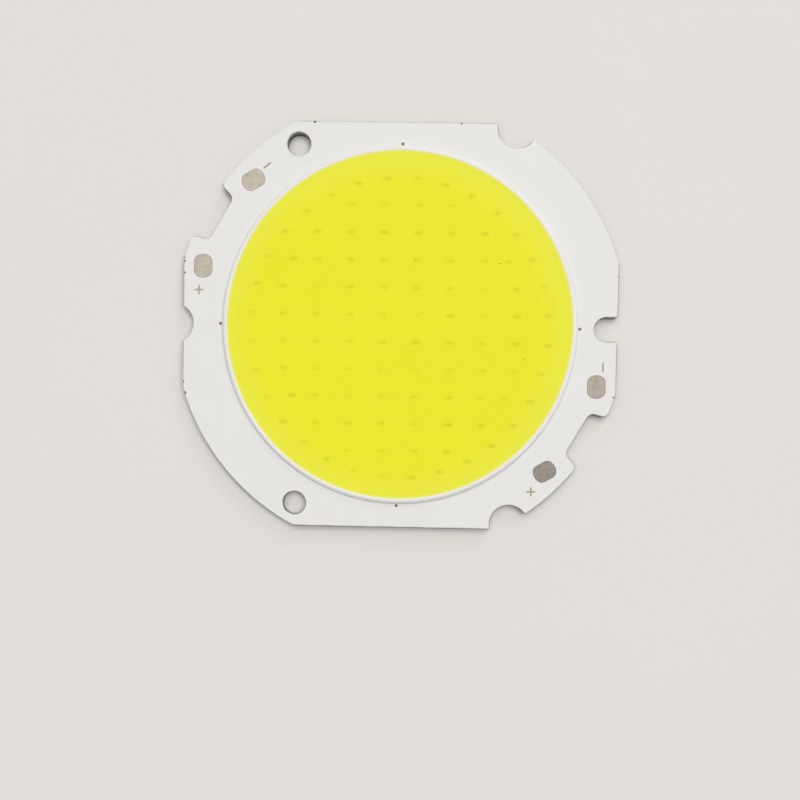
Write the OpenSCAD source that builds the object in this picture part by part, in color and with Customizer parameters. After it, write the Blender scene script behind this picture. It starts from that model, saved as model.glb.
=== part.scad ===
// Round chip-on-board light module: a punched aluminium board with one round lit field.
// Millimetres. The board lies flat with its underside on z = 0 and its centre on the Z axis.
// +X points at the open screw slot and +Z out of the lit face.

/* [Board] */
// Width across the left and right flats
board_w = 76; // [75:0.5:78]
// Height across the top and bottom flats
board_h = 70.5; // [69.5:0.5:73]
// Diameter of the circle on which the four corners lie
corner_d = 79.2; // [78.6:0.2:82]
// Thickness of the aluminium plate
plate_t = 1.4; // [0.8:0.1:3]
// Thickness of the insulating layer on the plate
film_t = 0.15; // [0.08:0.01:0.3]
// Thickness of the copper foil on the insulating layer
foil_t = 0.035; // [0.018:0.001:0.07]
// Thickness of the white mask over the copper
mask_cover = 0.035; // [0.02:0.005:0.08]

/* [Fixing points] */
// Diameter of the circle on which the screw holes and the open slot lie
screw_circle_d = 72; // [71:0.2:73]
// Diameter of the two screw holes
screw_hole_d = 4; // [3:0.1:4.4]
// Width of the open screw slot
slot_w = 4.2; // [3:0.1:4.8]
// Least width of board round the screw holes and beside the slot
screw_land = 1.2; // [0.6:0.1:1.5]
// Diameter of the circle on which the rim's scallops are centred
scallop_circle_d = 79; // [78:0.2:80]
// Radius of the scallops
scallop_r = 3.3; // [2.5:0.1:3.6]
// Rounding of the corners where slot and scallops leave the rim
rim_round = 0.5; // [0.2:0.1:1]

/* [Lead recesses] */
// Direction of the first lead recess, in degrees from +X
recess_dir = 150; // [147:1:153]
// Distance of a recess's floor from the board's centre
recess_at = 36.35; // [35.5:0.05:37.5]
// Width of a recess's floor
recess_w = 8.3; // [6:0.1:9]
// Angle by which a recess's walls open outward, in degrees
recess_flare = 15; // [5:1:25]
// Rounding between a recess's floor and walls
floor_round = 1.2; // [0.2:0.1:1.5]
// Rounding of the corners where a recess leaves the rim
recess_round = 1.1; // [0.3:0.1:1.3]

/* [Solder pads] */
// Distance of the pads from the board's centre
pad_at = 35.9; // [35:0.1:36.2]
// Angle of each pad from the recess beside it, in degrees
pad_step = 13.9; // [12.5:0.1:15]
// Length of a pad, the diameter of its round ends
pad_d = 4.1; // [3.4:0.1:4.6]
// Width of a pad between its flat sides
pad_w = 3.2; // [2:0.1:3.4]
// Rounding of a pad's corners, between its flat sides and its round ends
pad_round = 1.2; // [0.3:0.1:1.4]
// Turn of a pad's flat sides from the recess's floor, in degrees
pad_turn = 30; // [0:5:60]
// Thickness of the tin on a pad
tin_t = 0.022; // [0.005:0.001:0.03]
// Width of the copper neck that feeds a pad
neck_w = 2.4; // [1:0.1:3]
// Lap of the mask over a pad's copper
pad_lap = 0.2; // [0.05:0.05:0.3]

/* [Lit field] */
// Diameter of the lit field
lit_d = 60.2; // [56:0.2:61]
// Width of the dam that shows round the lit field
dam_show = 0.9; // [0.75:0.05:1.1]
// Radius of the dam's round top
bead_r = 0.66; // [0.5:0.02:0.72]
// Width of the bare bonding ledge inside the dam
ledge_w = 0.6; // [0.4:0.05:1]
// Step from the ledge's edge back to the copper
foil_setback = 0.1; // [0.05:0.01:0.2]
// Width of the copper buses outside the dam
bus_lap = 1.4; // [0.6:0.1:1.6]
// Gap between the two copper buses
bus_gap = 0.6; // [0.3:0.1:1.5]
// Bare margin between copper and a screw hole or slot
keep_out = 0.6; // [0.2:0.1:1]
// Least width of bare board between the flats and the buses, and round the pads' copper
copper_edge = 0.8; // [0.4:0.1:1]
// Diameter of the location dots in the mask
dot_d = 0.55; // [0.3:0.05:1]
// Gap between the dam and the location dots
dot_gap = 0.08; // [0.05:0.01:0.3]

/* [Chips] */
// Rows of chips in each string, without the arc of chips at its end
string_rows = 5; // [3:1:5]
// Chips in the arc at the end of each string
arc_chips = 6; // [4:2:8]
// Distance between rows
row_pitch = 4.72; // [4:0.02:4.9]
// Distance between columns
column_pitch = 5.79; // [5:0.01:6.5]
// Distance of the outer ring of chips from the lit field's edge
ring_margin = 4.2; // [3:0.1:5]
// Least distance along a row between the ring and the next chip
ring_gap = 4.52; // [3.5:0.02:5]
// Length of a chip
chip_l = 1.14; // [0.9:0.02:1.4]
// Width of a chip
chip_w = 0.58; // [0.4:0.02:0.8]
// Thickness of a chip
chip_t = 0.15; // [0.1:0.01:0.25]

/* [Bond wires] */
// Diameter of the wire
wire_d = 0.03; // [0.02:0.005:0.04]
// Height of a wire's loop above its two ends
loop_h = 0.26; // [0.15:0.01:0.3]
// Length of the foot that bonds a wire's end
foot_l = 0.1; // [0.06:0.01:0.15]
// Width of that foot
foot_w = 0.1; // [0.06:0.01:0.15]
// Height of that foot
foot_h = 0.08; // [0.07:0.005:0.1]
// Distance of a foot's front from the chip's end
foot_inset = 0.12; // [0.05:0.01:0.3]

/* [Hidden] */
$fn = 96;
wire_fn = 16;
slot_dir = 0;
// Angle of the screw holes from the line through the slot, where the flats leave room for it
screw_spread = 60;
scallop_dirs = [60, 180, 300];
dot_dirs = [0, 90, 180, 270];
recess_dirs = [recess_dir, recess_dir + 180];
// Reach of a rounding cut from its centre, in roundings
round_reach = 3;
// Overlap of a rounding circle past the sides that it touches, so that it crosses them cleanly
round_lap = 0.002;
// Steps of halving that find where a rounding touches the rim
halvings = 40;

corner_r = corner_d / 2;
screw_r = screw_circle_d / 2;
screw_reach = board_h / 2 - screw_land - screw_hole_d / 2;
screw_turn = min(screw_spread, asin(min(1, screw_reach / screw_r)));
screw_dirs = [slot_dir + 180 - screw_turn, slot_dir + 180 + screw_turn];
scallop_at = scallop_circle_d / 2;
slot_end = max(board_w / 2, screw_r + screw_land);
lit_r = lit_d / 2;

film_z = plate_t;
foil_z = film_z + film_t;
tin_z = foil_z + foil_t;
mask_z = tin_z + mask_cover;

dam_out = lit_r + dam_show;
dam_r = dam_out - bead_r;
dam_in = dam_r - bead_r;
window_r = dam_in - ledge_w;
bus_in = window_r + foil_setback;
bus_out = dam_out + bus_lap;
bond_at = (bus_in + dam_in) / 2;
dot_at = dam_out + dot_gap + dot_d / 2;
fill_z = mask_z + sqrt(pow(bead_r, 2) - pow(dam_r - lit_r, 2));

chip_z = plate_t + chip_t;
chip_ring_r = lit_r - ring_margin;
ring_chips = 2 * (2 * string_rows + arc_chips);
foot_x = chip_l / 2 - foot_inset;

strings = ["a", "b"];
row_numbers = [0 : string_rows];
CHIP_NODES = [for (s = strings, i = row_numbers) str("chip_row_", s, i + 1)];
WIRE_NODES = [for (s = strings, i = row_numbers) str("wire_row_", s, i + 1)];
PAD_NODES = ["pad_plus_left", "pad_minus_left", "pad_plus_right", "pad_minus_right"];

function dir(a) = [cos(a), sin(a)];
function polar(r, a) = r * dir(a);
function unit(v) = v / norm(v);
function turned(v, a) = [v.x * cos(a) - v.y * sin(a), v.x * sin(a) + v.y * cos(a)];
function reversed(list) = [for (i = [len(list) - 1 : -1 : 0]) list[i]];

// Rim: how far a point lies inside each of its stretches, and which way the nearest one faces

function rim_gaps(p) = [corner_r - norm(p), board_w / 2 - abs(p.x), board_h / 2 - abs(p.y)];
function rim_dir(p) =
    let (gaps = rim_gaps(p), least = min(gaps))
    gaps[0] == least ? unit(p) : gaps[1] == least ? [sign(p.x), 0] : [0, sign(p.y)];

// Where a circle of radius r touches the rim, as its centre runs out along a path from 0 to 1
function rim_touch(path, r, from = 0, to = 1, n = halvings) =
    let (mid = (from + to) / 2)
    n == 0 ? path(mid)
    : min(rim_gaps(path(mid))) < r ? rim_touch(path, r, from, mid, n - 1)
    : rim_touch(path, r, mid, to, n - 1);

// Sliver between a sharp corner and a rounding about c that touches its sides towards a and b
module round_off(c, r, a, b) {
    difference() {
        polygon([for (v = [[0, 0], a, unit(a + b), b]) c + round_reach * r * v]);
        translate(c) circle(r = r + round_lap);
    }
}

// Rounding of radius r where a wall meets the rim
module rim_corner(path, to_wall, r) {
    c = rim_touch(path, r);
    round_off(c, r, to_wall(c), rim_dir(c));
}

// Screw holes and open slot, grown all round by a margin
module screw_openings(margin = 0) {
    for (a = screw_dirs) {
        translate(polar(screw_r, a)) circle(d = screw_hole_d + 2 * margin);
    }
    rotate(slot_dir) translate([screw_r, 0]) {
        circle(d = slot_w + 2 * margin);
        translate([0, -slot_w / 2 - margin]) square([corner_r, slot_w + 2 * margin]);
    }
}

module slot_corners() {
    for (side = [-1, 1]) {
        c = turned([slot_end - rim_round, side * (slot_w / 2 + rim_round)], slot_dir);
        round_off(c, rim_round, turned([0, -side], slot_dir), dir(slot_dir));
    }
}

// Board that the screw openings and the pads keep round them where the rim comes near
module lands() {
    for (a = screw_dirs) {
        translate(polar(screw_r, a)) circle(d = screw_hole_d + 2 * screw_land);
    }
    half = slot_w / 2 + screw_land;
    rotate(slot_dir) translate([screw_r - half, -half]) square([half + screw_land, 2 * half]);
    for (recess = recess_dirs, side = [-1, 1]) {
        pad_shape(recess, side, pad_lap + copper_edge);
    }
}

// Round-bottomed notch that runs out through the rim in direction a
module scallop(a) {
    centre = polar(scallop_at, a);
    translate(centre) {
        circle(r = scallop_r);
        rotate(a) translate([0, -scallop_r]) square([corner_r, 2 * scallop_r]);
    }
    for (side = [-1, 1]) {
        wide = polar(scallop_r + rim_round, a - side * 90);
        rim_corner(function (t) t < 0.5 ? centre + turned(wide, side * (180 * t - 90))
                : centre + wide + polar((2 * t - 1) * corner_r, a),
            function (c) unit(centre + polar(max(0, (c - centre) * dir(a)), a) - c), rim_round);
    }
}

// Recess through which a pair of leads passes the rim, its floor square to direction a
module lead_recess(a) {
    half = recess_w / 2;
    floor_shift = floor_round * (1 - sin(recess_flare)) / cos(recess_flare);
    difference() {
        rotate(a) polygon([
            for (side = [-1, 1], r = side < 0 ? [0, corner_r] : [corner_r, 0])
                [recess_at, side * half] + r * [cos(recess_flare), side * sin(recess_flare)]
        ]);
        for (side = [-1, 1]) {
            round_off(turned([recess_at + floor_round, side * (half - floor_shift)], a),
                floor_round, dir(a + 180), dir(a + side * (90 + recess_flare)));
        }
    }
    for (side = [-1, 1]) {
        wall = a + side * recess_flare;
        start = turned([recess_at, side * half], a) + polar(recess_round, wall + side * 90);
        rim_corner(function (t) start + t * polar(corner_r, wall),
            function (c) dir(wall - side * 90), recess_round);
    }
}

module board_outline() {
    difference() {
        union() {
            intersection() {
                circle(r = corner_r);
                square([board_w, board_h], center = true);
            }
            lands();
        }
        screw_openings();
        slot_corners();
        for (a = scallop_dirs) {
            scallop(a);
        }
        for (a = recess_dirs) {
            lead_recess(a);
        }
    }
}

// Solder pads: round-ended openings with eased corners, a pair beside each recess

function pad_dir(recess, side) = recess + side * pad_step;

module pad_shape(recess, side, lap = 0) {
    ease = min(pad_round, pad_w / 2);
    ease_x = pad_w / 2 - ease;
    ease_y = sqrt(pow(pad_d / 2 - ease, 2) - pow(ease_x, 2));
    translate(polar(pad_at, pad_dir(recess, side))) rotate(recess + side * pad_turn) difference() {
        intersection() {
            circle(d = pad_d + 2 * lap);
            square([pad_w + 2 * lap, pad_d + 2 * lap], center = true);
        }
        for (x = [-1, 1], y = [-1, 1]) {
            c = [x * ease_x, y * ease_y];
            round_off(c, ease + lap, [x, 0], unit(c));
        }
    }
}

module solder_pad(recess, side) {
    translate([0, 0, tin_z]) linear_extrude(tin_t) pad_shape(recess, side);
}

// Copper of one polarity: half of the bus ring, from direction a on, with necks and pads
module track(a) {
    ends = [[a, 1], [a + 180, -1]];
    translate([0, 0, foil_z]) linear_extrude(foil_t) difference() {
        union() {
            intersection() {
                difference() {
                    circle(r = bus_out);
                    circle(r = bus_in);
                }
                rotate(a) translate([-corner_r, bus_gap / 2]) square([corner_d, corner_r]);
                square([board_w, board_h] - 2 * copper_edge * [1, 1], center = true);
            }
            for (end = ends) {
                rotate(pad_dir(end[0], end[1])) translate([(bus_out + dam_out) / 2, -neck_w / 2]) {
                    square([pad_at - (bus_out + dam_out) / 2, neck_w]);
                }
                pad_shape(end[0], end[1], pad_lap);
            }
        }
        screw_openings(keep_out);
    }
}

// Chips: rows that end on a ring of chips, and an arc of that ring at the end of the string

function row_y(i) = (i + 0.5) * row_pitch;
function row_reach(i) = sqrt(pow(chip_ring_r, 2) - pow(row_y(i), 2)) - ring_gap;
function ring_chip(k) = polar(chip_ring_r, (k + 0.5) * 360 / ring_chips);
function half_row(i) = [
    for (c = [0 : floor(row_reach(i) / column_pitch)])
        [min((c + 0.5) * column_pitch, row_reach(i)), row_y(i)],
    ring_chip(i)
];
function mirrored(list) = [for (p = reversed(list)) [-p.x, p.y]];
function row_chips(i) = i < string_rows
    ? concat(mirrored(half_row(i)), half_row(i))
    : reversed([for (k = [0 : arc_chips - 1]) ring_chip(string_rows + k)]);

// Current runs to the right in the first row, to the left in the next, and so on
function flow(i) = i % 2 == 0 ? 1 : -1;
function row_in_order(i) = flow(i) > 0 ? row_chips(i) : reversed(row_chips(i));
function chip_foot(p, side) = [p.x + side * foot_x, p.y, chip_z];
function bus_foot(p) = concat(bond_at * unit(p), tin_z);

// Feet along a row, two for each wire: in from the row before, chip to chip, and out at the end
function row_feet(i) =
    let (chips = row_in_order(i), last = len(chips) - 1)
    concat(
        i == 0 ? [[bus_foot(chips[0]), chip_foot(chips[0], -flow(i))]] : [],
        [for (j = [0 : 1 : last - 1])
            [chip_foot(chips[j], flow(i)), chip_foot(chips[j + 1], -flow(i))]],
        [[chip_foot(chips[last], flow(i)), i == string_rows ? bus_foot(chips[last])
            : chip_foot(row_in_order(i + 1)[0], flow(i))]]);

module chips(i) {
    for (p = row_chips(i)) {
        translate([p.x, p.y, plate_t + chip_t / 2]) cube([chip_l, chip_w, chip_t], center = true);
    }
}

// Foot of a wire that leaves along +X at the given slope, its front square to the wire
module wire_foot(slope) {
    lean = foot_h / 2 * tan(slope);
    rotate([90, 0, 0]) linear_extrude(foot_w, center = true) {
        polygon([[-foot_l, 0], [lean, 0], [-lean, foot_h], [-foot_l, foot_h]]);
    }
}

// Wire bent to one arc, its ends sunk in the middle of its feet
module bond_wire(start, end) {
    run = end - start;
    span = norm(run);
    tilt = asin(run.z / span);
    bend_r = (pow(span / 2, 2) + pow(loop_h, 2)) / (2 * loop_h);
    half_turn = asin(span / 2 / bend_r);
    sunk_turn = half_turn + asin(foot_l / 2 / bend_r);
    translate(start) rotate(atan2(run.y, run.x)) {
        wire_foot(half_turn + tilt);
        translate([span * cos(tilt), 0, run.z]) mirror([1, 0, 0]) wire_foot(half_turn - tilt);
        translate([0, 0, foot_h / 2]) rotate([0, -tilt, 0]) translate([span / 2, 0, loop_h - bend_r])
            rotate([90, sunk_turn - 90, 0]) rotate_extrude(angle = 2 * sunk_turn) {
                translate([bend_r, 0]) circle(d = wire_d, $fn = wire_fn);
            }
    }
}

module wires(i) {
    for (feet = row_feet(i)) {
        bond_wire(feet[0], feet[1]);
    }
}

module string_turn(s) {
    rotate(s == "a" ? 0 : 180) children();
}

// Pieces

module base_plate() {
    color("gainsboro") linear_extrude(plate_t) board_outline();
}

module insulating_layer() {
    color("wheat") translate([0, 0, film_z]) linear_extrude(film_t) difference() {
        board_outline();
        circle(r = window_r);
    }
}

module plus_track() {
    color("peru") track(recess_dir);
}

module minus_track() {
    color("peru") track(recess_dir + 180);
}

module white_mask() {
    color("whitesmoke") difference() {
        translate([0, 0, foil_z]) linear_extrude(mask_z - foil_z) difference() {
            board_outline();
            circle(r = dam_r);
            for (recess = recess_dirs, side = [-1, 1]) {
                pad_shape(recess, side);
            }
            for (a = dot_dirs) {
                translate(polar(dot_at, a)) circle(d = dot_d);
            }
        }
        plus_track();
        minus_track();
    }
}

module pad_plus_left() {
    color("silver") solder_pad(recess_dir, 1);
}

module pad_minus_left() {
    color("silver") solder_pad(recess_dir, -1);
}

module pad_plus_right() {
    color("silver") solder_pad(recess_dir + 180, -1);
}

module pad_minus_right() {
    color("silver") solder_pad(recess_dir + 180, 1);
}

// Round-topped bead as it is laid, before it settles on copper and mask
module bead() {
    rotate_extrude() intersection() {
        translate([dam_r, mask_z]) circle(r = bead_r);
        translate([dam_in, foil_z]) square([2 * bead_r, mask_z + bead_r - foil_z]);
    }
}

module dam() {
    color("ivory") difference() {
        bead();
        plus_track();
        minus_track();
        white_mask();
    }
}

// The insulating layer's edge round the chips, as far as the dam covers it
module window_edge() {
    translate([0, 0, film_z]) linear_extrude(film_t) difference() {
        circle(r = dam_out);
        circle(r = window_r);
    }
}

module phosphor_fill() {
    color("gold") difference() {
        translate([0, 0, plate_t]) cylinder(r = dam_r, h = fill_z - plate_t);
        window_edge();
        plus_track();
        minus_track();
        bead();
        for (s = strings, i = row_numbers) {
            string_turn(s) {
                chips(i);
                wires(i);
            }
        }
    }
}

module chip_row(s, i) {
    color("lightsteelblue") string_turn(s) chips(i);
}

module wire_row(s, i) {
    color("goldenrod") string_turn(s) wires(i);
}

base_plate();
insulating_layer();
plus_track();
minus_track();
white_mask();
pad_plus_left();
pad_minus_left();
pad_plus_right();
pad_minus_right();
dam();
phosphor_fill();
for (s = strings, i = row_numbers) {
    chip_row(s, i);
    wire_row(s, i);
}
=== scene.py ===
# %% [markdown]
# # Dressing a round light module
# The module is a stack of thin layers on a punched aluminium board: insulating film, copper,
# white mask, tinned pads, and in the middle a white silicone dam filled with yellow phosphor.
# Every solid of that stack comes in ready made, at its real size and place. This lesson gives
# each one its finish, and rebuilds the few whose look depends on soft edges or a skin of colour.

# %% Load the solids
import math
import random

import bmesh
import bpy
from mathutils import Matrix, Vector, kdtree, noise


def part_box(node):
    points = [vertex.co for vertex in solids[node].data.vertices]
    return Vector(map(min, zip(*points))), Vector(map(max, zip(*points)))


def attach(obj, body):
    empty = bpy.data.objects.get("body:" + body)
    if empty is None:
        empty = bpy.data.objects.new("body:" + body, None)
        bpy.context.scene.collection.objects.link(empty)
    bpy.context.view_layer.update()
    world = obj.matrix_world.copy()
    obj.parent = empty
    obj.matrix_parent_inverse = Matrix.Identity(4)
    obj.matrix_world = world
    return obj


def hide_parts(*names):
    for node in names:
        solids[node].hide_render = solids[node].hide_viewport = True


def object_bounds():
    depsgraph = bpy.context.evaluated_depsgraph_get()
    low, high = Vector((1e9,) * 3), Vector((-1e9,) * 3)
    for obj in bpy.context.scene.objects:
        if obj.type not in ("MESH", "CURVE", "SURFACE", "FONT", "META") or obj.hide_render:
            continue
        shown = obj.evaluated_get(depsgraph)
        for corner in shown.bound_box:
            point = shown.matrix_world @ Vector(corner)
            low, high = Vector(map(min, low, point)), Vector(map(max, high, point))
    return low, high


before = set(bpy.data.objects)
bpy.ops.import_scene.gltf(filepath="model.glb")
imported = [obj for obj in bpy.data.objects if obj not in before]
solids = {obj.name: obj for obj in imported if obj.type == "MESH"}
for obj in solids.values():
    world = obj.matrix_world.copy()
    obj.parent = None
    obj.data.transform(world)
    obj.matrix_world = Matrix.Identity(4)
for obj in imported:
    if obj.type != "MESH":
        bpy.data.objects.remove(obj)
cad_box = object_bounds()
print(len(solids), "solids, box", [[round(v, 5) for v in corner] for corner in cad_box])

# %% [markdown]
# ## The heights of the stack
# Blender works in metres here, while this board is measured in millimetres. One factor keeps the
# numbers readable. The heights and radii are read from the solids, and not typed again, so the
# new pieces still fit when the board is made in another size.

# %% Measure the stack
MM = 0.001


def radii(node):
    """Smallest and largest distance of a solid's points from the board's middle axis."""
    reach = [math.hypot(v.co.x, v.co.y) for v in solids[node].data.vertices]
    return min(reach), max(reach)


plate_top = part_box("base_plate")[1].z
film_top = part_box("insulating_layer")[1].z
mask_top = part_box("white_mask")[1].z
tin_low, tin_top = (corner.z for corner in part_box("pad_plus_left"))
fill_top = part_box("phosphor_fill")[1].z
lit_r = radii("phosphor_fill")[1]
window_r = radii("insulating_layer")[0]
dam_in, dam_out = radii("dam")
dam_r = (dam_in + dam_out) / 2
bead_r = (dam_out - dam_in) / 2
print("mask top %.3f mm, bead %.3f mm at radius %.2f mm" % (mask_top / MM, bead_r / MM, dam_r / MM))

# %% [markdown]
# ## Small tools for finishes
# A finish is a tree of shader nodes. Building each tree by hand takes many lines, so a few helpers
# make the parts that come back: a cloud of noise in real millimetres, a stretch of its range, a
# mix of two colours and a bump. They read Object coordinates, so a pattern stays where it is on
# the board from whichever side it is seen. Noise keeps mostly to the middle of its range, so two
# named stretches of it, a wide one and its core, serve most finishes.

# %% Finish helpers
NOISE_WIDE = (0.3, 0.7)
NOISE_CORE = (0.35, 0.65)


def new_finish(name, colour, roughness, metallic=0.0):
    """A material with its own node tree, and the shader that the other nodes feed."""
    material = bpy.data.materials.new(name)
    material.use_nodes = True
    shader = material.node_tree.nodes["Principled BSDF"]
    shader.inputs["Base Color"].default_value = (*colour, 1)
    shader.inputs["Roughness"].default_value = roughness
    shader.inputs["Metallic"].default_value = metallic
    return material, material.node_tree, shader


def feed(tree, source, target):
    """Links a socket to an input, or sets the input where the source is a plain value."""
    if isinstance(source, bpy.types.NodeSocket):
        tree.links.new(source, target)
    elif target.type == "RGBA":
        target.default_value = (*source, 1)
    else:
        target.default_value = source


def cloud(tree, size, detail=3.0, stretch=(1, 1, 1)):
    """Noise from 0 to 1 with lumps about size metres across, drawn out by stretch."""
    place = tree.nodes.new("ShaderNodeTexCoord")
    mapping = tree.nodes.new("ShaderNodeMapping")
    lumps = tree.nodes.new("ShaderNodeTexNoise")
    mapping.inputs["Scale"].default_value = [1 / (size * s) for s in stretch]
    lumps.inputs["Scale"].default_value = 1.0
    lumps.inputs["Detail"].default_value = detail
    tree.links.new(place.outputs["Object"], mapping.inputs["Vector"])
    tree.links.new(mapping.outputs["Vector"], lumps.inputs["Vector"])
    return lumps.outputs["Fac"]


def remap(tree, value, old, new):
    """Carries the range old of a value over to the range new, and holds it there."""
    node = tree.nodes.new("ShaderNodeMapRange")
    feed(tree, value, node.inputs["Value"])
    for socket, number in zip(("From Min", "From Max", "To Min", "To Max"), (*old, *new)):
        node.inputs[socket].default_value = number
    return node.outputs["Result"]


def combine(tree, operation, first, second):
    """The outcome of one operation on two values, such as MULTIPLY or MINIMUM."""
    node = tree.nodes.new("ShaderNodeMath")
    node.operation = operation
    feed(tree, first, node.inputs[0])
    feed(tree, second, node.inputs[1])
    return node.outputs[0]


def blend_colours(tree, amount, first, second):
    """The colour that lies by amount between the first and the second."""
    node = tree.nodes.new("ShaderNodeMix")
    node.data_type = "RGBA"
    feed(tree, amount, node.inputs[0])
    feed(tree, first, node.inputs[6])
    feed(tree, second, node.inputs[7])
    return node.outputs[2]


def emboss(tree, shader, height, depth):
    """Makes a value stand out of the surface by up to depth metres."""
    node = tree.nodes.new("ShaderNodeBump")
    node.inputs["Distance"].default_value = depth
    tree.links.new(height, node.inputs["Height"])
    tree.links.new(node.outputs["Normal"], shader.inputs["Normal"])


def magnitude(tree, value):
    """A value without its sign."""
    return combine(tree, "ABSOLUTE", value, 0.0)


def axis_value(tree, axis):
    """One Object coordinate, X, Y or Z."""
    place = tree.nodes.new("ShaderNodeTexCoord")
    split = tree.nodes.new("ShaderNodeSeparateXYZ")
    tree.links.new(place.outputs["Object"], split.inputs["Vector"])
    return split.outputs[axis]


def painted(tree, name):
    """A value from 0 to 1 that was written on the points of a piece."""
    node = tree.nodes.new("ShaderNodeAttribute")
    node.attribute_name = name
    return node.outputs["Fac"]


print("finish helpers ready")

# %% [markdown]
# ## White mask finish
# The mask is a printed white coat, baked until hard, with a satin gloss. Two clouds, one wide and
# one fine, keep it from being one flat white, and a shallow fine bump gives the orange-peel skin of
# a screen print. A thin grey line of painted shade runs all along the flats, just inside the coat's
# edge: the distance to the nearest flat is worked out in the shader. The coat ends a little inside
# the metal, so its own edge is where the painted shade starts. Handling has nicked the rim in a few
# places. They are listed with their radius, and noise frays their outlines.

# %% White mask finish
MASK_WHITE = (0.795, 0.785, 0.758)
MASK_GREY = (0.782, 0.772, 0.746)
MASK_INSET = 0.14 * MM
# Painted shade: a thin grey line along the flats, just inside the coat's edge.
EDGE_SHADE = (0.30, 0.27, 0.22)
EDGE_SHADE_FULL = 0.04 * MM
EDGE_SHADE_REACH = 0.18 * MM
NICK = (0.14, 0.13, 0.115)
NICK_FRAY = 0.10 * MM
NICK_CORE = 0.6
NICKS = (
    (-37.85, 11.35, 0.32), (-37.75, 10.75, 0.28), (-37.75, 8.75, 0.20), (-37.85, -10.15, 0.26),
    (-37.50, -12.20, 0.30), (37.66, -11.80, 0.28), (37.88, 9.20, 0.20),
    (-15.35, 34.98, 0.26), (10.10, 35.02, 0.24), (17.15, 34.75, 0.36),
)


def nicked(tree):
    """1 inside the nicks and 0 outside them."""
    place = tree.nodes.new("ShaderNodeTexCoord")
    fray = remap(tree, cloud(tree, 0.25 * MM, 2), NOISE_WIDE, (-NICK_FRAY, NICK_FRAY))
    amount = 0.0
    for x, y, r in NICKS:
        gap = tree.nodes.new("ShaderNodeVectorMath")
        gap.operation = "DISTANCE"
        gap.inputs[1].default_value = (x * MM, y * MM, mask_top)
        tree.links.new(place.outputs["Object"], gap.inputs[0])
        distance = combine(tree, "ADD", gap.outputs["Value"], fray)
        spot = remap(tree, distance, (NICK_CORE * r * MM, r * MM), (1, 0))
        amount = combine(tree, "MAXIMUM", amount, spot)
    return amount


def mask_finish():
    material, tree, shader = new_finish("white_mask_print", MASK_WHITE, 0.55)
    shader.inputs["IOR"].default_value = 1.45
    wide = remap(tree, cloud(tree, 9 * MM), (0.35, 0.7), (0, 1))
    white = blend_colours(tree, wide, MASK_WHITE, MASK_GREY)
    to_flats = []
    for axis, half in zip("XY", cad_box[1]):
        to_flats.append(combine(tree, "SUBTRACT", half, magnitude(tree, axis_value(tree, axis))))
    inset = combine(tree, "MINIMUM", *to_flats)
    # Painted shade along the flats, just inside the coat's edge.
    edge_shade = remap(tree, inset, (MASK_INSET + EDGE_SHADE_FULL, MASK_INSET + EDGE_SHADE_REACH), (1, 0))
    uneven = remap(tree, cloud(tree, 2.5 * MM, 3), NOISE_CORE, (0.30, 0.80))
    edge_shade = combine(tree, "MULTIPLY", edge_shade, uneven)
    edge_shaded = blend_colours(tree, edge_shade, white, EDGE_SHADE)
    feed(tree, blend_colours(tree, nicked(tree), edge_shaded, NICK), shader.inputs["Base Color"])
    skin = cloud(tree, 0.35 * MM, 2)
    feed(tree, remap(tree, skin, NOISE_WIDE, (0.50, 0.60)), shader.inputs["Roughness"])
    emboss(tree, shader, skin, 0.002 * MM)
    return material


white_mask_print = mask_finish()
print("finish:", white_mask_print.name)

# %% [markdown]
# ## Joining a solid's triangles
# A solid comes in as loose triangles. To round its edges, a copy is merged: points that lie on each
# other become one, and triangles in one plane become one face. A bevel then rounds the edges that
# are picked by their height. The bevel could be a modifier, but here only the edges at one level
# are wanted, and picking them in bmesh is the simpler way. Level faces are shaded flat, so the
# rounding beside them doesn't cast a false gradient over the whole board.
#
# At the rim the punch drags the layers down: film and coat end a little inside the metal. Their
# upright outer walls are picked by their height and moved inward, each corner along the line
# between its two walls, as a joiner draws a mitre.

# %% Copy and soften helpers
MERGE = 0.0005 * MM
FLAT = math.radians(0.2)
SHARP = math.radians(40)
SHADING = math.radians(32)
LEVEL = 0.9999
UPRIGHT = 0.01


def merged_copy(node):
    """A bmesh of a solid with its points joined and its flat faces whole."""
    bm = bmesh.new()
    bm.from_mesh(solids[node].data)
    bmesh.ops.remove_doubles(bm, verts=bm.verts, dist=MERGE)
    bmesh.ops.dissolve_limit(bm, angle_limit=FLAT, verts=bm.verts, edges=bm.edges)
    return bm


def level_edges(bm, height):
    """The sharp edges that lie at one height."""
    def at_height(edge):
        return all(abs(v.co.z - height) < MERGE for v in edge.verts)
    return [e for e in bm.edges if at_height(e) and e.calc_face_angle(0) > SHARP]


def soften(bm, edges, width, segments=3):
    """Rounds the given edges over a width."""
    bmesh.ops.bevel(bm, geom=edges, offset=width, offset_type="OFFSET", affect="EDGES",
                    segments=segments, profile=0.5, clamp_overlap=True, material=-1)


def outer_walls(bm, low, high, reach):
    """Upright faces between two heights that lie further out than reach."""
    def fits(face):
        heights = [v.co.z for v in face.verts]
        tall = max(heights) - min(heights) > high - low - MERGE
        upright = abs(face.normal.z) < UPRIGHT
        return tall and upright and math.hypot(*face.calc_center_median().xy) > reach
    return {f for f in bm.faces if fits(f)}


def draw_in(bm, walls, width):
    """Moves walls into their piece by a width."""
    shifts = {}
    for v in {v for f in walls for v in f.verts}:
        normals = [f.normal for f in v.link_faces if f in walls]
        total = sum(normals, Vector())
        shifts[v] = -width * len(normals) * total / total.length_squared
    for v, shift in shifts.items():
        v.co += shift
    print("drew in", len(walls), "wall faces by %.2f mm" % (width / MM))


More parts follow.
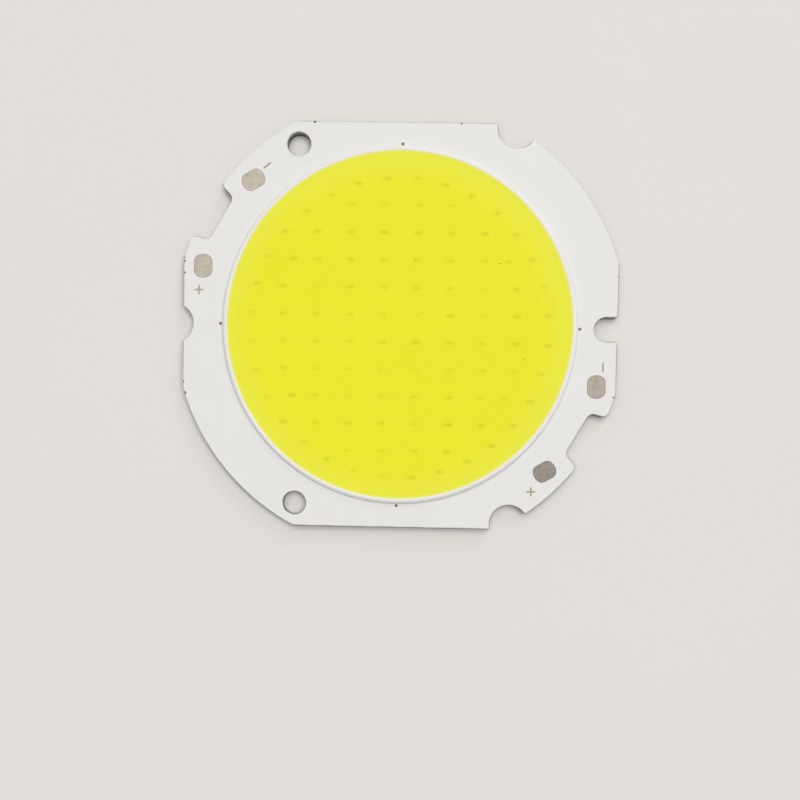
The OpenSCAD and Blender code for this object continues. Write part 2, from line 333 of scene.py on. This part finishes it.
def make_piece(name, bm, finish, stands_for=()):
    """Puts a finished bmesh into the scene as a piece of the module."""
    mesh = bpy.data.meshes.new(name)
    bm.to_mesh(mesh)
    bm.free()
    mesh.materials.append(finish)
    mesh.shade_smooth()
    mesh.set_sharp_from_angle(angle=SHADING)
    for face in mesh.polygons:
        face.use_smooth = abs(face.normal.z) < LEVEL
    piece = bpy.data.objects.new(name, mesh)
    bpy.context.scene.collection.objects.link(piece)
    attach(piece, "root")
    if stands_for:
        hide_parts(*stands_for)
    print(name, len(mesh.polygons), "faces, in place of", list(stands_for))


print("shape helpers ready")

# %% [markdown]
# ## The mask coat
# The coat covers the whole face of the board and is punched out with it. Its rim is drawn in from
# the edge of the metal, and the edges of its openings are soft where the print flowed. One bevel on
# the edges of its upper face rounds both.

# %% Mask coat
MASK_EDGE = 0.05 * MM
coat = merged_copy("white_mask")
draw_in(coat, outer_walls(coat, film_top, mask_top, dam_out), MASK_INSET)
soften(coat, level_edges(coat, mask_top), MASK_EDGE)
make_piece("mask_coat", coat, white_mask_print, ["white_mask"])

# %% [markdown]
# ## Aluminium finish
# The board is rolled sheet, so its back has a fine grain along one way. Its edge was made by a
# punch, which leaves two bands: a burnished one with upright drag lines where the tool cut, and a
# dull torn one below where the metal broke. Both bands are coloured far darker than bare metal,
# which is painted shade on the punched walls and on the steeper faces of the rolled edge. The
# surface normal tells back from edge, and the height tells one band from the other.

# %% Aluminium finish
ROLLED = (0.70, 0.71, 0.72)
ROLLED_DARK = (0.60, 0.61, 0.62)
# Painted shade: both edge colours are darker than bare metal, so the walls look shaded.
CUT_AND_SHADE = (0.26, 0.26, 0.255)
TORN_AND_SHADE = (0.17, 0.17, 0.165)
BREAK_HEIGHT = 0.62
BREAK_SOFT = 0.04 * MM
BREAK_RAGGED = 0.12 * MM
FACE_TILT = (0.80, 0.95)


def aluminium_finish():
    material, tree, shader = new_finish("punched_aluminium", ROLLED, 0.3, 1.0)
    grain = cloud(tree, 0.12 * MM, 4, (60, 1, 60))
    drag = cloud(tree, 0.10 * MM, 3, (1, 1, 40))
    torn = cloud(tree, 0.12 * MM, 4)
    facing = tree.nodes.new("ShaderNodeNewGeometry")
    split = tree.nodes.new("ShaderNodeSeparateXYZ")
    tree.links.new(facing.outputs["True Normal"], split.inputs["Vector"])
    level = remap(tree, magnitude(tree, split.outputs["Z"]), FACE_TILT, (0, 1))
    ragged = remap(tree, cloud(tree, 0.8 * MM, 3), NOISE_WIDE, (-BREAK_RAGGED, BREAK_RAGGED))
    height = combine(tree, "ADD", axis_value(tree, "Z"), ragged)
    break_z = BREAK_HEIGHT * plate_top
    broken = remap(tree, height, (break_z + BREAK_SOFT, break_z - BREAK_SOFT), (0, 1))
    # Painted shade on the punched walls and the rolled edge's steeper faces.
    edge_colour_and_shade = blend_colours(tree, broken, CUT_AND_SHADE, TORN_AND_SHADE)
    streaks = remap(tree, grain, NOISE_WIDE, (0, 1))
    face_colour = blend_colours(tree, streaks, ROLLED, ROLLED_DARK)
    feed(tree, blend_colours(tree, level, edge_colour_and_shade, face_colour), shader.inputs["Base Color"])
    edge_rough = remap(tree, broken, (0, 1), (0.28, 0.55))
    face_rough = remap(tree, grain, NOISE_WIDE, (0.26, 0.40))
    rough = tree.nodes.new("ShaderNodeMix")
    for value, socket in zip((level, edge_rough, face_rough), (0, 2, 3)):
        feed(tree, value, rough.inputs[socket])
    feed(tree, rough.outputs[0], shader.inputs["Roughness"])
    edge_relief = blend_colours(tree, broken, drag, torn)
    emboss(tree, shader, blend_colours(tree, level, edge_relief, grain), 0.006 * MM)
    return material


punched_aluminium = aluminium_finish()
print("finish:", punched_aluminium.name)

# %% [markdown]
# ## The punched board
# The punch rolls the upper edge of the metal over, and the burr on the lower edge was rubbed off,
# so both are blunt. They are bevels on a merged copy again, one at each height. From above, the
# rolled edge is the thin line of bare metal round the board, paler where it faces the lamps and
# dark where it turns away from them; its steeper faces also take the dark edge colour, a painted
# shade.

# %% Punched board
ROLLED_EDGE = 0.14 * MM
RUBBED_EDGE = 0.10 * MM
board = merged_copy("base_plate")
soften(board, level_edges(board, plate_top), ROLLED_EDGE, 4)
soften(board, level_edges(board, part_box("base_plate")[0].z), RUBBED_EDGE)
make_piece("punched_board", board, punched_aluminium, ["base_plate"])

# %% [markdown]
# ## Film and copper
# Between board and mask lie the insulating film and the copper tracks. The film shows only as a
# thin line in the punched edge, where it is drawn in almost as far as the coat. The copper shows
# only at the bottom of the four small location dots, so its solids stay and only get a finish,
# copper that has browned in the baking oven. The film is a cloudy cream resin.

# %% Film and copper finishes
FILM_INSET = 0.12 * MM


def speckled_finish(name, light, dark, size, rough, metallic=0.0):
    """A finish that drifts between two colours and two degrees of roughness."""
    material, tree, shader = new_finish(name, light, rough[0], metallic)
    amount = remap(tree, cloud(tree, size, 4), (0.32, 0.68), (0, 1))
    feed(tree, blend_colours(tree, amount, light, dark), shader.inputs["Base Color"])
    feed(tree, remap(tree, amount, (0, 1), rough), shader.inputs["Roughness"])
    return material


def dress(finish, *names):
    """Gives a finish to solids that keep their own shape."""
    for name in names:
        solids[name].data.materials.clear()
        solids[name].data.materials.append(finish)
    print("dressed", len(names), "solids in", finish.name)


film_resin = speckled_finish("film_resin", (0.70, 0.66, 0.54), (0.62, 0.58, 0.46),
                             0.6 * MM, (0.5, 0.6))
browned_copper = speckled_finish("browned_copper", (0.24, 0.18, 0.10), (0.16, 0.12, 0.08),
                                 0.3 * MM, (0.45, 0.60), 0.5)
dress(browned_copper, "plus_track", "minus_track")
film = merged_copy("insulating_layer")
draw_in(film, outer_walls(film, plate_top, film_top, dam_out), FILM_INSET)
make_piece("film_sheet", film, film_resin, ["insulating_layer"])

# %% [markdown]
# ## Chips and bond wires
# The lit field holds a hundred small chips joined by gold wires, all sunk in the phosphor. They are
# there when the module is taken apart, so they get true finishes too: a blue-grey crystal and drawn
# gold.

# %% Chip and wire finishes
chip_rows = [name for name in solids if name.startswith("chip_row_")]
wire_rows = [name for name in solids if name.startswith("wire_row_")]
chip_crystal = speckled_finish("chip_crystal", (0.52, 0.62, 0.72), (0.44, 0.55, 0.68),
                               0.2 * MM, (0.12, 0.22))
drawn_gold = speckled_finish("drawn_gold", (0.90, 0.66, 0.26), (0.80, 0.56, 0.20),
                             0.02 * MM, (0.18, 0.3), 1.0)
dress(chip_crystal, *chip_rows)
dress(drawn_gold, *wire_rows)

# %% [markdown]
# ## The tinned pads
# The four solder pads are copper faces dipped in tin: dull, grainy, a little crowned, and darker
# round the rim where flux stays. Each is a merged copy of its solid. Its upper face is inset three
# times in narrow steps, and the second and third are lifted a little, which gives the crown. The
# outermost points carry a rim value of 1, the inner ones 0, and the finish turns that into the
# darker rim. A second value says how far a pad has dulled, since no two have aged alike.

# %% Tin finish
TIN = (0.57, 0.515, 0.42)
TIN_GRAIN = (0.405, 0.36, 0.285)
DULL_TIN = (0.30, 0.267, 0.223)
DULL_GRAIN = (0.225, 0.197, 0.164)
TIN_RIM = (0.16, 0.14, 0.11)


def tin_finish():
    material, tree, shader = new_finish("grainy_tin", TIN, 0.5, 0.3)
    grain = cloud(tree, 0.30 * MM, 4)
    blotch = remap(tree, cloud(tree, 1.4 * MM, 2), NOISE_CORE, (0, 0.7))
    specks = remap(tree, grain, (0.42, 0.66), (0, 1))
    amount = combine(tree, "MAXIMUM", specks, blotch)
    age = painted(tree, "age")
    bright = blend_colours(tree, age, TIN, DULL_TIN)
    dark = blend_colours(tree, age, TIN_GRAIN, DULL_GRAIN)
    face = blend_colours(tree, amount, bright, dark)
    rim = remap(tree, painted(tree, "rim"), (0.2, 1), (0, 0.8))
    feed(tree, blend_colours(tree, rim, face, TIN_RIM), shader.inputs["Base Color"])
    feed(tree, remap(tree, grain, NOISE_WIDE, (0.38, 0.62)), shader.inputs["Roughness"])
    emboss(tree, shader, grain, 0.010 * MM)
    return material


grainy_tin = tin_finish()
print("finish:", grainy_tin.name)

# %% Tinned pads
CROWN_STEPS = ((0.18 * MM, 0.0), (0.14 * MM, 0.004 * MM), (0.14 * MM, 0.003 * MM))
PAD_AGES = {
    "pad_plus_left": 0.06,
    "pad_minus_left": 0.0,
    "pad_plus_right": 1.0,
    "pad_minus_right": 0.5,
}


def tinned_pad(node, pad_age):
    bm = merged_copy(node)
    rim = bm.verts.layers.float.new("rim")
    age = bm.verts.layers.float.new("age")
    facing_up = [f for f in bm.faces if f.normal.z > LEVEL]
    top = [f for f in facing_up if abs(f.calc_center_median().z - tin_top) < MERGE]
    for v in bm.verts:
        v[rim] = 1.0
    for width, lift in CROWN_STEPS:
        bmesh.ops.inset_region(bm, faces=top, thickness=width, depth=lift, use_even_offset=True)
        for v in {v for f in top for v in f.verts}:
            v[rim] = 0.0
    for v in bm.verts:
        v[age] = pad_age
    make_piece("tinned_" + node, bm, grainy_tin, [node])


for pad, pad_age in PAD_AGES.items():
    tinned_pad(pad, pad_age)

# %% [markdown]
# ## The dam
# The dam is a bead of white silicone that a nozzle lays round the lit field. Its section is a half
# round with a flat foot, stepped down on the inside onto the copper. A circle is cut off at the
# mask's height, the leg is added below, and the section is spun once round the board. The nozzle
# doesn't move quite evenly, so the bead's height and width drift a few hundredths of a millimetre.
# Vector noise starts from the clock unless it is given a seed, and with one every run lays the same
# bead. Where the bead meets the mask the finish paints shade on it, darker the lower it lies.

# %% Dam finish
SILICONE = (0.83, 0.815, 0.79)
SILICONE_GREY = (0.80, 0.785, 0.76)
# Painted shade: the bead darkens towards its foot, where it meets the mask.
FOOT_SHADE = (0.36, 0.35, 0.34)
FOOT_SHADE_FULL = 0.02 * MM
FOOT_SHADE_HEIGHT = 0.26 * MM
FOOT_SHADE_SHARE = 0.75


def silicone_finish():
    material, tree, shader = new_finish("white_silicone", SILICONE, 0.4)
    shader.inputs["IOR"].default_value = 1.41
    wide = remap(tree, cloud(tree, 5 * MM), NOISE_CORE, (0, 1))
    colour = blend_colours(tree, wide, SILICONE, SILICONE_GREY)
    foot = (mask_top + FOOT_SHADE_FULL, mask_top + FOOT_SHADE_HEIGHT)
    # Painted shade at the bead's foot.
    foot_shade = remap(tree, axis_value(tree, "Z"), foot, (FOOT_SHADE_SHARE, 0))
    feed(tree, blend_colours(tree, foot_shade, colour, FOOT_SHADE), shader.inputs["Base Color"])
    ripple = cloud(tree, 0.8 * MM, 2)
    feed(tree, remap(tree, ripple, NOISE_WIDE, (0.34, 0.48)), shader.inputs["Roughness"])
    emboss(tree, shader, ripple, 0.008 * MM)
    return material


white_silicone = silicone_finish()
print("finish:", white_silicone.name)

# %% Dam bead
BEAD_SIDES = 28
BEAD_STEPS = 480
BEAD_DRIFT = 0.022 * MM
DRIFT_LENGTH = 7 * MM
DRIFT_SEED = 7


def spin_round(bm, steps):
    """Turns a half section in the XZ plane once round the middle axis and closes it."""
    bmesh.ops.spin(bm, geom=bm.verts[:] + bm.edges[:], cent=(0, 0, 0), axis=(0, 0, 1),
                   angle=2 * math.pi, steps=steps, use_merge=True)
    bmesh.ops.remove_doubles(bm, verts=bm.verts, dist=MERGE)
    bmesh.ops.recalc_face_normals(bm, faces=bm.faces)


def dam_bead():
    bm = bmesh.new()
    stand_up = Matrix.Translation((dam_r, 0, mask_top)) @ Matrix.Rotation(math.pi / 2, 4, "X")
    bmesh.ops.create_circle(bm, segments=2 * BEAD_SIDES, radius=bead_r, matrix=stand_up)
    below = [v for v in bm.verts if v.co.z < mask_top - MERGE]
    bmesh.ops.delete(bm, geom=below, context="VERTS")
    outer = max(bm.verts, key=lambda v: v.co.x)
    inner = min(bm.verts, key=lambda v: v.co.x)
    leg = [(dam_in, tin_low), (dam_r, tin_low), (dam_r, mask_top)]
    chain = [inner] + [bm.verts.new((x, 0, z)) for x, z in leg] + [outer]
    for start, end in zip(chain, chain[1:]):
        bm.edges.new((start, end))
    spin_round(bm, BEAD_STEPS)
    noise.seed_set(DRIFT_SEED)
    for v in bm.verts:
        rise = max(0, v.co.z - mask_top) / bead_r
        sway = noise.noise_vector(Vector((v.co.x, v.co.y, 0)) / DRIFT_LENGTH)
        outward = Vector((v.co.x, v.co.y, 0)).normalized()
        v.co += BEAD_DRIFT * rise * (sway.x * outward + Vector((0, 0, 0.5 * (sway.z - 1))))
    make_piece("dam_bead", bm, white_silicone, ["dam"])


dam_bead()

# %% [markdown]
# ## Where the chips lie
# Under the phosphor the chips show as faint, blurred dashes. Their places are read from the chip
# solids: walking from point to point along the edges of a merged copy finds one island for each
# chip, and its middle is the chip's place. The places are sorted, so every run numbers them alike.

# %% Chip places


def islands(bm):
    """Groups of points that hang together."""
    left = set(bm.verts)
    while left:
        group, open_ends = set(), [left.pop()]
        while open_ends:
            vert = open_ends.pop()
            group.add(vert)
            for edge in vert.link_edges:
                other = edge.other_vert(vert)
                if other in left:
                    left.remove(other)
                    open_ends.append(other)
        yield group


chip_places = []
for row in chip_rows:
    row_copy = merged_copy(row)
    row_places = []
    for chip in islands(row_copy):
        low = [min(v.co[k] for v in chip) for k in range(3)]
        high = [max(v.co[k] for v in chip) for k in range(3)]
        row_places.append(Vector(((low[0] + high[0]) / 2, (low[1] + high[1]) / 2, 0)))
        chip_half = ((high[0] - low[0]) / 2, (high[1] - low[1]) / 2)
    chip_places += sorted(row_places, key=lambda place: place.x)
    row_copy.free()
chip_tree = kdtree.KDTree(len(chip_places))
for number, place in enumerate(chip_places):
    chip_tree.insert(place, number)
chip_tree.balance()
print(len(chip_places), "chips of", [round(2 * h / MM, 2) for h in chip_half], "mm")

# %% [markdown]
# ## The phosphor
# The fill is yellow phosphor in clear silicone, poured into the dam and left to level. It creeps up
# the bead in a small meniscus, where it is thinner and paler. Its half section is a short chain of
# points, with the long upper edge cut into many short ones before the spin, because the chips'
# faint shadows are painted on the points. A picture of the dashes would also do, but painted points
# need no image and follow the chips wherever they are. Through the fill the dashes show about half
# a millimetre south of the chips' middles, so they are painted there.

# %% Phosphor finish
PHOSPHOR = (0.835, 0.820, 0.005)
PHOSPHOR_DEEP = (0.815, 0.797, 0.003)
CHIP_SHADOW = (0.625, 0.630, 0.001)
PHOSPHOR_PALE = (0.825, 0.815, 0.340)


def phosphor_finish():
    material, tree, shader = new_finish("yellow_phosphor", PHOSPHOR, 0.6)
    shader.inputs["IOR"].default_value = 1.40
    wide = remap(tree, cloud(tree, 14 * MM, 2), NOISE_CORE, (0, 1))
    grain = cloud(tree, 0.25 * MM, 3)
    fine = remap(tree, grain, NOISE_WIDE, (0, 0.35))
    depth = combine(tree, "ADD", fine, combine(tree, "MULTIPLY", wide, 0.6))
    yellow = blend_colours(tree, depth, PHOSPHOR, PHOSPHOR_DEEP)
    shaded = blend_colours(tree, painted(tree, "mark"), yellow, CHIP_SHADOW)
    edged = blend_colours(tree, painted(tree, "rim"), shaded, PHOSPHOR_PALE)
    feed(tree, edged, shader.inputs["Base Color"])
    feed(tree, remap(tree, grain, NOISE_WIDE, (0.55, 0.65)), shader.inputs["Roughness"])
    emboss(tree, shader, grain, 0.002 * MM)
    return material


yellow_phosphor = phosphor_finish()
print("finish:", yellow_phosphor.name)

# %% Phosphor disc
TOP_RINGS = 126
FILL_STEPS = 600
MENISCUS_RISE = 0.06 * MM
MENISCUS_REACH = 0.45 * MM
RIM_BURIED = 0.04 * MM
PALE_REACH = 0.14 * MM
BLUR_REACH = 2.6 * MM
BLUR_SHARE = 0.085
DASH_DRIFT = Vector((0, -0.50 * MM, 0))
LOBE_AT = 0.31 * MM
LOBE_LONG = 0.26 * MM
LOBE_WIDE = 0.21 * MM


def bell(offset, width):
    return math.exp(-((offset / width) ** 2) / 2)


def chip_mark(point):
    """How dark the nearest chip shows at a point of the upper face, from 0 to 1."""
    below = Vector((point.x, point.y, 0)) - DASH_DRIFT
    place, number, _ = chip_tree.find(below)
    along, across, _ = below - place
    left, right = chip_lobes[number]
    dash = left * bell(along + LOBE_AT, LOBE_LONG) + right * bell(along - LOBE_AT, LOBE_LONG)
    return min(1, dash * bell(across, LOBE_WIDE))


chance = random.Random(7)
chip_lobes = [(chance.uniform(0.25, 0.9), chance.uniform(0.25, 0.9)) for _ in chip_places]


def phosphor_disc():
    bm = bmesh.new()
    rim_x = lit_r + RIM_BURIED
    section = [(0, fill_top), (rim_x, fill_top), (dam_r, mask_top), (dam_r, tin_low),
               (window_r, tin_low), (window_r, plate_top), (0, plate_top)]
    points = [bm.verts.new((x, 0, z)) for x, z in section]
    sides = [bm.edges.new(pair) for pair in zip(points, points[1:])]
    bmesh.ops.subdivide_edges(bm, edges=[sides[0]], cuts=TOP_RINGS)
    for v in bm.verts:
        if v.co.z > fill_top - MERGE:
            v.co.z -= MENISCUS_RISE * (1 - math.exp((v.co.x - rim_x) / MENISCUS_REACH))
    spin_round(bm, FILL_STEPS)
    mark = bm.verts.layers.float.new("mark")
    rim = bm.verts.layers.float.new("rim")
    for v in bm.verts:
        if v.co.z > fill_top - 2 * MENISCUS_RISE:
            inside = lit_r - math.hypot(v.co.x, v.co.y)
            v[mark] = chip_mark(v.co)
            thin, blurred = (bell(max(0, inside), reach) for reach in (PALE_REACH, BLUR_REACH))
            v[rim] = max(thin, BLUR_SHARE * blurred)
    make_piece("phosphor_disc", bm, yellow_phosphor, ["phosphor_fill"])


phosphor_disc()

# %% [markdown]
# ## Polarity signs
# Each pad has its sign printed beside it, a plus or a minus in tan ink. A sign starts as a grid of
# nine squares, whose lines are moved to the stroke's width. Without its corners the grid is a plus,
# and its middle row alone is a minus. The shape is raised by the ink's thickness and its upper
# edges are rounded.

# %% Ink finish and signs
SIGN_LENGTH = 1.6 * MM
SIGN_STROKE = 0.28 * MM
OUTER_CELL = 0.5
INK = 0.014 * MM
INK_EDGE = 0.4 * INK
SIGNS = {
    "sign_minus_left": (-23.48, 27.40, 40, "minus"),
    "sign_plus_left": (-35.17, 5.83, 0, "plus"),
    "sign_minus_right": (35.56, -6.46, 90, "minus"),
    "sign_plus_right": (23.56, -28.44, 0, "plus"),
}
tan_ink = speckled_finish("tan_ink", (0.42, 0.365, 0.22), (0.34, 0.295, 0.17),
                          0.15 * MM, (0.5, 0.65))


def polarity_sign(name, x, y, turn, kind):
    bm = bmesh.new()
    bmesh.ops.create_grid(bm, x_segments=3, y_segments=3, size=1)
    cells = {f: f.calc_center_median() for f in bm.faces}
    if kind == "plus":
        spare = [f for f, c in cells.items() if min(abs(c.x), abs(c.y)) > OUTER_CELL]
    else:
        spare = [f for f, c in cells.items() if abs(c.y) > OUTER_CELL]
    bmesh.ops.delete(bm, geom=spare, context="FACES")
    for v in bm.verts:
        for k in (0, 1):
            span = SIGN_LENGTH if abs(v.co[k]) > OUTER_CELL else SIGN_STROKE
            v.co[k] = math.copysign(span / 2, v.co[k])
    raised = bmesh.ops.extrude_face_region(bm, geom=bm.faces[:])["geom"]
    lifted = [g for g in raised if isinstance(g, bmesh.types.BMVert)]
    bmesh.ops.translate(bm, verts=lifted, vec=(0, 0, INK))
    bmesh.ops.recalc_face_normals(bm, faces=bm.faces)
    soften(bm, level_edges(bm, INK), INK_EDGE, 2)
    turned = Matrix.Rotation(math.radians(turn), 4, "Z")
    place = Matrix.Translation((x * MM, y * MM, mask_top)) @ turned
    bmesh.ops.transform(bm, matrix=place, verts=bm.verts)
    make_piece(name, bm, tan_ink)


for name, (x, y, turn, kind) in SIGNS.items():
    polarity_sign(name, x, y, turn, kind)

# %% [markdown]
# ## Specks in the phosphor
# A few brown grains lie in the yellow, as they do in most poured fills. Each is a flattened ball
# half sunk in the surface, listed by its place and radius. All of them are one piece.

# %% Specks
SPECKS = (
    (17.3, 11.0, 0.13), (2.3, 9.5, 0.08), (4.0, 2.25, 0.09),
    (2.2, -4.5, 0.08), (21.7, -5.5, 0.10), (23.3, -8.15, 0.08),
)
SPECK_SHAPE = Matrix.Diagonal((1, 0.8, 0.3, 1))
speck_brown = speckled_finish("speck_brown", (0.34, 0.24, 0.03), (0.24, 0.16, 0.02),
                              0.05 * MM, (0.5, 0.6))


def phosphor_specks():
    bm = bmesh.new()
    level = fill_top - MENISCUS_RISE
    for x, y, r in SPECKS:
        lie = Matrix.Translation((x * MM, y * MM, level)) @ SPECK_SHAPE
        bmesh.ops.create_icosphere(bm, subdivisions=2, radius=r * MM, matrix=lie)
    make_piece("phosphor_specks", bm, speck_brown)


phosphor_specks()

# %% [markdown]
# ## Floor
# The module lies on a plain pale floor, one square that is far larger than the picture. A cloth
# with folds would also do, but a plain face leaves all the attention to the module.

# %% Floor
FLOOR_COLOUR = (0.765, 0.742, 0.710)
FLOOR_SHADE = (0.757, 0.734, 0.702)
FLOOR_HALF = 2.0
floor_finish = speckled_finish("pale_floor", FLOOR_COLOUR, FLOOR_SHADE, 60 * MM, (0.7, 0.75))
floor_mesh = bpy.data.meshes.new("floor")
floor_bm = bmesh.new()
bmesh.ops.create_grid(floor_bm, x_segments=1, y_segments=1, size=FLOOR_HALF)
floor_bm.to_mesh(floor_mesh)
floor_bm.free()
floor_mesh.materials.append(floor_finish)
floor = bpy.data.objects.new("floor", floor_mesh)
bpy.context.scene.collection.objects.link(floor)
print("floor at height 0")

# %% [markdown]
# ## Light
# A wide softbox hangs above the module and makes the white even. Two smaller lamps, one to the
# north and one to the east, add the short shadows under the south and west edges, and a low one
# between them draws these shadows out. All hang far off, so no side of the picture is nearer to
# them than another. Each is listed by bearing and height in degrees, distance and size in metres,
# and power in watts. A dim world fills what is left, and the south stays dark, so the punched
# walls that face the camera stay dark as well.

# %% Light
LAMPS = {
    "softbox": (90, 78, 3.1, 4.8, 77.5),
    "north_lamp": (78, 60, 6.0, 1.20, 40.0),
    "east_lamp": (10, 58, 6.0, 1.20, 46.0),
    "low_lamp": (62, 24, 6.0, 1.50, 50.0),
}
SKY_COLOUR = (1.0, 0.99, 0.98)
SKY_LEVEL = 0.28


def soft_lamp(name, bearing, height, distance, size, power):
    """A square lamp that looks at the module, with its bearing from +X and height in degrees."""
    lamp = bpy.data.lights.new(name, "AREA")
    lamp.size = size
    lamp.energy = power
    tilt, turn = math.radians(90 - height), math.radians(bearing + 90)
    holder = bpy.data.objects.new(name, lamp)
    holder.rotation_euler = (tilt, 0, turn)
    holder.location = holder.rotation_euler.to_matrix() @ Vector((0, 0, distance))
    bpy.context.scene.collection.objects.link(holder)
    print(name, power, "W at", [round(v, 2) for v in holder.location])


for name, setting in LAMPS.items():
    soft_lamp(name, *setting)
world = bpy.data.worlds.new("dim_room")
world.use_nodes = True
sky = world.node_tree.nodes["Background"]
sky.inputs["Color"].default_value = (*SKY_COLOUR, 1)
sky.inputs["Strength"].default_value = SKY_LEVEL
bpy.context.scene.world = world
bpy.context.scene.view_settings.view_transform = "Standard"

# %% [markdown]
# ## Camera
# The camera hangs a little south of the module's middle and looks almost straight down. That keeps
# the round field round, and shows the south-facing walls of the slot and the upper hole. A small
# shift of the lens brings the module further down in the picture, where it still lies above the
# middle.

# %% Camera
CAMERA_PLACE = (2.37 * MM, -21.89 * MM, 130 * MM)
CAMERA_TURN = (-1.884, 0.799, 1.106)
CAMERA_LENS = 32.92
CAMERA_SHIFT = 0.095
camera = bpy.data.objects.new("camera", bpy.data.cameras.new("camera"))
camera.data.lens = CAMERA_LENS
camera.data.shift_y = CAMERA_SHIFT
camera.data.clip_start = 10 * MM
camera.rotation_mode = "ZYX"
camera.rotation_euler = [math.radians(a) for a in CAMERA_TURN]
camera.location = CAMERA_PLACE
bpy.context.scene.collection.objects.link(camera)
bpy.context.scene.camera = camera
print("camera at", camera.location[:])
